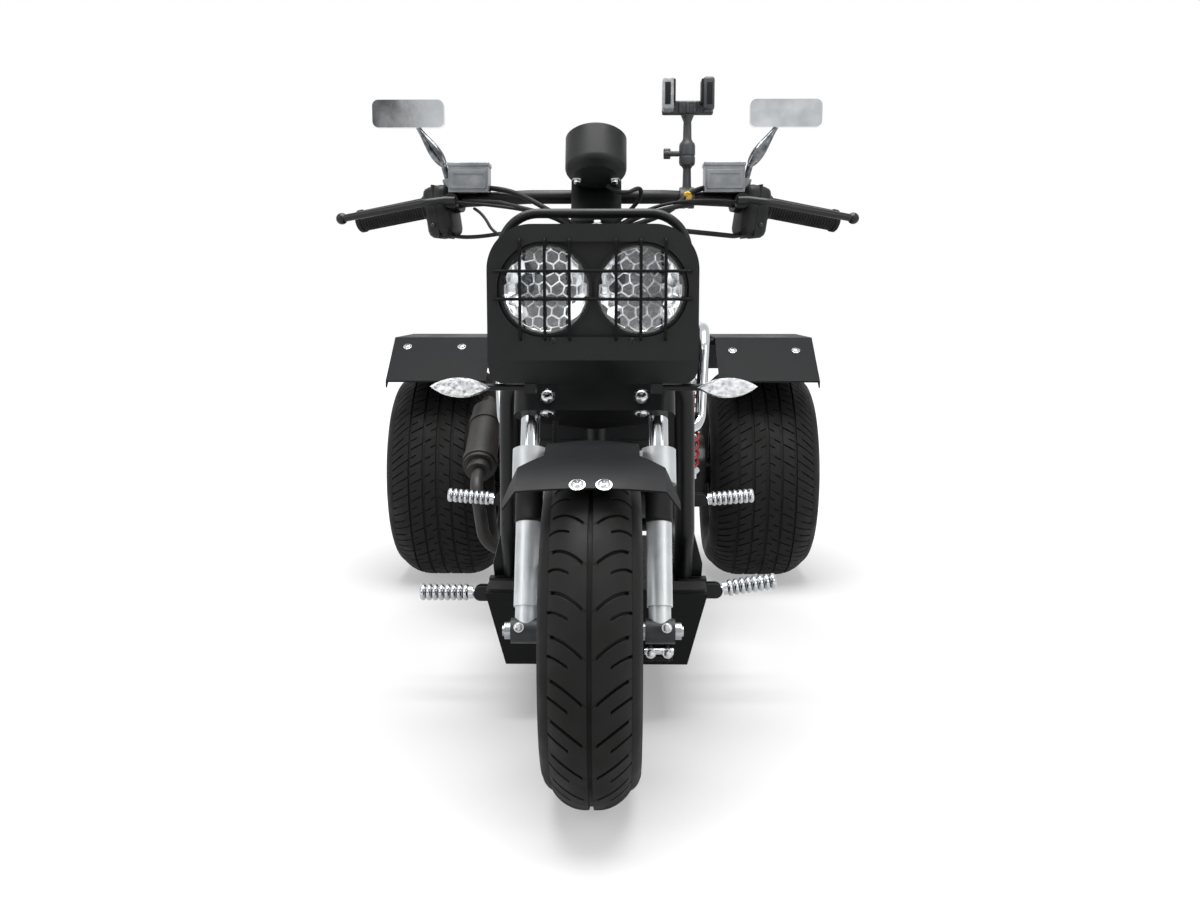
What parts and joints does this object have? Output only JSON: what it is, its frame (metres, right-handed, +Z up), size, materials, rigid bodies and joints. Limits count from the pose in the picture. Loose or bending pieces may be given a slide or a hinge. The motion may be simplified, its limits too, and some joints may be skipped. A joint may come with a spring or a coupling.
{
  "type": "three-wheeled scooter",
  "caption": "Naked three-wheeled motor scooter with a single steered front wheel, wide rear tyres, twin headlamp fairing and a step-through floor.",
  "frame": {"origin": "centre of the bounding box's base, on the ground midway between front and rear tyre faces", "axes": "+X to the vehicle's left, +Y to the rear so that it faces -Y, +Z up"},
  "size_m": [1.0406, 1.878, 1.0564],
  "materials": {
    "black_frame_paint": "satin black powder coat",
    "satin_black_plastic": "satin black",
    "floor_mat": "ribbed black rubber",
    "tyre_rubber": "black tyre rubber",
    "black_rim": "gloss black",
    "disc_steel": "ground steel",
    "fork_silver": "silver paint over cast alloy",
    "chrome_tube": "bright chrome",
    "mirror_glass": "silvered glass",
    "clear_lens": "clear",
    "reflector": "vacuum-metalled",
    "black_wire": "black coated wire",
    "red_spring": "gloss red",
    "cast_alloy": "die-cast",
    "exhaust_steel": "dark heat-resistant coating",
    "grip_rubber": "black rubber",
    "lever_black": "gloss black",
    "holder_plastic": "dark grey",
    "seat_vinyl": "grained black vinyl",
    "seat_base": "black",
    "red_lens": "red lens"
  },
  "bodies": {
    "chassis": {"main_frame": "black_frame_paint", "swing_arm": "black_frame_paint", "tail_bracket": "black_frame_paint", "fairing_hoop": "black_frame_paint", "rear_axle_housing": "black_frame_paint", "headlamp_fairing": "satin_black_plastic", "rear_mudguard_left": "satin_black_plastic", "rear_mudguard_right": "satin_black_plastic", "belly_pan": "satin_black_plastic", "air_cleaner": "satin_black_plastic", "fuel_tank": "satin_black_plastic", "floor_board": "floor_mat", "headlamp_lenses": "clear_lens", "signal_lenses": "clear_lens", "headlamp_bowls": "reflector", "headlamp_guards": "black_wire", "turn_signals": "chrome_tube", "rear_shocks": "chrome_tube", "shock_springs": "red_spring", "engine_crankcase": "cast_alloy", "engine_cylinder": "cast_alloy", "belt_case": "cast_alloy", "exhaust_pipe": "exhaust_steel", "muffler": "exhaust_steel", "grab_rail": "chrome_tube", "tail_lamp": "red_lens"},
    "steering": {"steering_yoke": "black_frame_paint", "fork_legs": "fork_silver", "fork_stanchions": "chrome_tube", "front_axle": "disc_steel", "front_mudguard": "satin_black_plastic", "front_brake_caliper": "fork_silver", "handlebar": "black_frame_paint", "grips": "grip_rubber", "switch_housings": "satin_black_plastic", "master_cylinders": "fork_silver", "brake_levers": "lever_black", "mirrors": "chrome_tube", "mirror_glasses": "mirror_glass", "speedometer": "satin_black_plastic", "phone_holder": "holder_plastic", "control_cables": "grip_rubber"},
    "front_wheel": {"front_tyre": "tyre_rubber", "front_rim": "black_rim", "front_brake_disc": "disc_steel"},
    "rear_wheel_left": {"rear_tyre_left": "tyre_rubber", "rear_rim_left": "black_rim"},
    "rear_wheel_right": {"rear_tyre_right": "tyre_rubber", "rear_rim_right": "black_rim"},
    "seat": {"seat_cushion": "seat_vinyl", "seat_pan": "seat_base"},
    "peg_front_left": {"footpeg_front_left": "chrome_tube"},
    "peg_front_right": {"footpeg_front_right": "chrome_tube"},
    "peg_rear_left": {"footpeg_rear_left": "chrome_tube"},
    "peg_rear_right": {"footpeg_rear_right": "chrome_tube"}
  },
  "joints": [
    {"name": "steering", "type": "hinge", "parent": "chassis", "child": "steering", "pos_m": [0, -0.67244, 0.23201], "axis": [0, 0.4226, 0.9063], "range_deg": [-40, 40]},
    {"name": "front_wheel_spin", "type": "hinge", "parent": "steering", "child": "front_wheel", "pos_m": [0, -0.696, 0.243], "axis": [1, 0, 0], "continuous": true},
    {"name": "rear_wheel_left_spin", "type": "hinge", "parent": "chassis", "child": "rear_wheel_left", "pos_m": [0.39, 0.674, 0.265], "axis": [1, 0, 0], "continuous": true},
    {"name": "rear_wheel_right_spin", "type": "hinge", "parent": "chassis", "child": "rear_wheel_right", "pos_m": [-0.39, 0.674, 0.265], "axis": [1, 0, 0], "continuous": true},
    {"name": "seat_hinge", "type": "hinge", "parent": "chassis", "child": "seat", "pos_m": [0, 0.15, 0.578], "axis": [1, 0, 0], "range_deg": [0, 70]},
    {"name": "peg_front_left_fold", "type": "hinge", "parent": "chassis", "child": "peg_front_left", "pos_m": [0.21, -0.256, 0.19], "axis": [0, -1, 0], "range_deg": [0, 66]},
    {"name": "peg_front_right_fold", "type": "hinge", "parent": "chassis", "child": "peg_front_right", "pos_m": [-0.21, -0.256, 0.184], "axis": [0, 1, 0], "range_deg": [0, 75]},
    {"name": "peg_rear_left_fold", "type": "hinge", "parent": "chassis", "child": "peg_rear_left", "pos_m": [0.21, 0.106, 0.29], "axis": [0, -1, 0], "range_deg": [0, 70]},
    {"name": "peg_rear_right_fold", "type": "hinge", "parent": "chassis", "child": "peg_rear_right", "pos_m": [-0.21, 0.106, 0.29], "axis": [0, 1, 0], "range_deg": [0, 70]}
  ]
}
